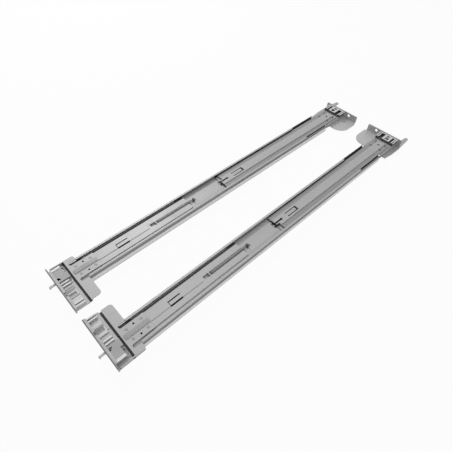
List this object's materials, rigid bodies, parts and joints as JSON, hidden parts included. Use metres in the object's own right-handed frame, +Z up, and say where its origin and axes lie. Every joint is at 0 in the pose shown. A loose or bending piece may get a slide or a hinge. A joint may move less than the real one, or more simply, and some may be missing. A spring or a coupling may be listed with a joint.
{
  "type": "sliding server rail pair",
  "caption": "Pair of ball bearing slide rails for a rack server, with telescoping arms, a tension spring, flanged ends and sprung rack hooks.",
  "frame": {"origin": "bottom centre of the pair's bounding box, on the surface that it lies on", "axes": "+X from the rack's front towards its rear, along the rails; +Z up, away from the server side; Y across the pair"},
  "size_m": [0.7516, 0.2002, 0.0203],
  "materials": {
    "zinc_sheet": "bright zinc-plated sheet steel, satin, with faint rolling lines along its length",
    "slide_steel": "rolled zinc-plated steel, satin, lightly greased",
    "cage_steel": "thin bright steel strip",
    "ball_steel": "polished bearing steel",
    "rivet_steel": "plated steel, satin",
    "cast_housing": "die-cast zinc alloy, matte with bright worn edges",
    "latch_steel": "blanked and plated steel, satin",
    "spring_wire": "drawn spring wire, satin",
    "bumper_rubber": "black moulded rubber, matte",
    "lever_plastic": "dark grey moulded plastic, matte"
  },
  "bodies": {
    "rails": {"left_main_channel": "zinc_sheet", "left_channel_rivets": "rivet_steel", "left_cabinet_member": "slide_steel", "left_slide_bumper": "bumper_rubber", "left_tension_spring": "spring_wire", "right_main_channel": "zinc_sheet", "right_channel_rivets": "rivet_steel", "right_cabinet_member": "slide_steel", "right_slide_bumper": "bumper_rubber", "right_tension_spring": "spring_wire"},
    "left_front_head": {"left_front_bracket": "zinc_sheet", "left_front_arm": "zinc_sheet", "left_front_rivets": "rivet_steel", "left_front_latch_housing": "cast_housing", "left_front_latch_pin": "rivet_steel", "left_front_latch_spring": "spring_wire"},
    "left_front_latch": {"left_front_latch_hook": "latch_steel"},
    "left_rear_head": {"left_rear_bracket": "zinc_sheet", "left_rear_arm": "zinc_sheet", "left_rear_rivets": "rivet_steel", "left_rear_latch_housing": "cast_housing", "left_rear_latch_pin": "rivet_steel", "left_rear_latch_spring": "spring_wire"},
    "left_rear_latch": {"left_rear_latch_hook": "latch_steel"},
    "left_intermediate": {"left_intermediate_member": "slide_steel"},
    "left_outer_cage": {"left_outer_ball_cage": "cage_steel", "left_outer_balls": "ball_steel"},
    "left_inner_cage": {"left_inner_ball_cage": "cage_steel", "left_inner_balls": "ball_steel"},
    "left_inner": {"left_inner_member": "slide_steel", "left_release_lever_pin": "rivet_steel"},
    "left_release": {"left_release_lever": "lever_plastic"},
    "right_front_head": {"right_front_bracket": "zinc_sheet", "right_front_arm": "zinc_sheet", "right_front_rivets": "rivet_steel", "right_front_latch_housing": "cast_housing", "right_front_latch_pin": "rivet_steel", "right_front_latch_spring": "spring_wire"},
    "right_front_latch": {"right_front_latch_hook": "latch_steel"},
    "right_rear_head": {"right_rear_bracket": "zinc_sheet", "right_rear_arm": "zinc_sheet", "right_rear_rivets": "rivet_steel", "right_rear_latch_housing": "cast_housing", "right_rear_latch_pin": "rivet_steel", "right_rear_latch_spring": "spring_wire"},
    "right_rear_latch": {"right_rear_latch_hook": "latch_steel"},
    "right_intermediate": {"right_intermediate_member": "slide_steel"},
    "right_outer_cage": {"right_outer_ball_cage": "cage_steel", "right_outer_balls": "ball_steel"},
    "right_inner_cage": {"right_inner_ball_cage": "cage_steel", "right_inner_balls": "ball_steel"},
    "right_inner": {"right_inner_member": "slide_steel", "right_release_lever_pin": "rivet_steel"},
    "right_release": {"right_release_lever": "lever_plastic"}
  },
  "joints": [
    {"name": "left_front_head_slide", "type": "slide", "parent": "rails", "child": "left_front_head", "axis": [-1, 0, 0], "range_m": [0, 0.025], "stiffness_N_per_m": 600, "springref_m": -0.008, "deforming": ["left_tension_spring"]},
    {"name": "left_front_latch_swing", "type": "hinge", "parent": "left_front_head", "child": "left_front_latch", "pos_m": [-0.34925, 0.06835, 0.0144], "axis": [0, 1, 0], "range_deg": [0, 6], "stiffness_Nm_per_rad": 0.05, "springref_deg": -11.46},
    {"name": "left_rear_head_slide", "type": "slide", "parent": "rails", "child": "left_rear_head", "axis": [1, 0, 0], "range_m": [0, 0.2]},
    {"name": "left_rear_latch_swing", "type": "hinge", "parent": "left_rear_head", "child": "left_rear_latch", "pos_m": [0.31875, 0.06835, 0.0144], "axis": [0, -1, 0], "range_deg": [0, 6], "stiffness_Nm_per_rad": 0.05, "springref_deg": -11.46},
    {"name": "left_intermediate_slide", "type": "slide", "parent": "rails", "child": "left_intermediate", "axis": [-1, 0, 0], "range_m": [0, 0.3]},
    {"name": "left_outer_cage_slide", "type": "slide", "parent": "rails", "child": "left_outer_cage", "axis": [-1, 0, 0], "range_m": [0, 0.15]},
    {"name": "left_inner_slide", "type": "slide", "parent": "left_intermediate", "child": "left_inner", "axis": [-1, 0, 0], "range_m": [0, 0.3]},
    {"name": "left_inner_cage_slide", "type": "slide", "parent": "left_intermediate", "child": "left_inner_cage", "axis": [-1, 0, 0], "range_m": [0, 0.15]},
    {"name": "left_release_lever_turn", "type": "hinge", "parent": "left_inner", "child": "left_release", "pos_m": [-0.03625, 0.06835, 0.0022], "axis": [0, 0, 1], "range_deg": [-4, 4], "stiffness_Nm_per_rad": 0.03},
    {"name": "right_front_head_slide", "type": "slide", "parent": "rails", "child": "right_front_head", "axis": [-1, 0, 0], "range_m": [0, 0.025], "stiffness_N_per_m": 600, "springref_m": -0.008, "deforming": ["right_tension_spring"]},
    {"name": "right_front_latch_swing", "type": "hinge", "parent": "right_front_head", "child": "right_front_latch", "pos_m": [-0.34925, -0.06835, 0.0144], "axis": [0, 1, 0], "range_deg": [0, 6], "stiffness_Nm_per_rad": 0.05, "springref_deg": -11.46},
    {"name": "right_rear_head_slide", "type": "slide", "parent": "rails", "child": "right_rear_head", "axis": [1, 0, 0], "range_m": [0, 0.2]},
    {"name": "right_rear_latch_swing", "type": "hinge", "parent": "right_rear_head", "child": "right_rear_latch", "pos_m": [0.31875, -0.06835, 0.0144], "axis": [0, -1, 0], "range_deg": [0, 6], "stiffness_Nm_per_rad": 0.05, "springref_deg": -11.46},
    {"name": "right_intermediate_slide", "type": "slide", "parent": "rails", "child": "right_intermediate", "axis": [-1, 0, 0], "range_m": [0, 0.3]},
    {"name": "right_outer_cage_slide", "type": "slide", "parent": "rails", "child": "right_outer_cage", "axis": [-1, 0, 0], "range_m": [0, 0.15]},
    {"name": "right_inner_slide", "type": "slide", "parent": "right_intermediate", "child": "right_inner", "axis": [-1, 0, 0], "range_m": [0, 0.3]},
    {"name": "right_inner_cage_slide", "type": "slide", "parent": "right_intermediate", "child": "right_inner_cage", "axis": [-1, 0, 0], "range_m": [0, 0.15]},
    {"name": "right_release_lever_turn", "type": "hinge", "parent": "right_inner", "child": "right_release", "pos_m": [-0.03625, -0.06835, 0.0022], "axis": [0, 0, 1], "range_deg": [-4, 4], "stiffness_Nm_per_rad": 0.03}
  ],
  "couplings": [
    {"joint": "left_outer_cage_slide", "follows": "left_intermediate_slide", "ratio": 0.5},
    {"joint": "left_inner_cage_slide", "follows": "left_inner_slide", "ratio": 0.5},
    {"joint": "right_outer_cage_slide", "follows": "right_intermediate_slide", "ratio": 0.5},
    {"joint": "right_inner_cage_slide", "follows": "right_inner_slide", "ratio": 0.5}
  ]
}
